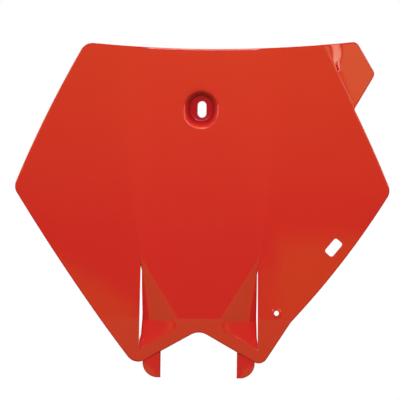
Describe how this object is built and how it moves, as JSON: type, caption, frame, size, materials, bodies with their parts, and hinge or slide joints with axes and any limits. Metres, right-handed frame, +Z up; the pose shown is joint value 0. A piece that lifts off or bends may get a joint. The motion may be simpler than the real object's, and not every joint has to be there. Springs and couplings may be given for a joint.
{
  "type": "motorcycle front number board",
  "caption": "One-piece moulded front number board with swept-back wings, side vents, a recessed slotted bolt seat, an ear for the brake hose and hooks at its foot.",
  "frame": {"origin": "centre of the bolt slot, on the rear face of its seat", "axes": "+X to the viewer's right and along the width, +Y from the front face to the back, +Z up"},
  "size_m": [0.2898, 0.0489, 0.2581],
  "materials": {
    "gloss_shell": "glossy orange-red moulded plastic, coloured through, with a very fine surface grain"
  },
  "bodies": {
    "root": {"number_plate": "gloss_shell"}
  },
  "joints": []
}
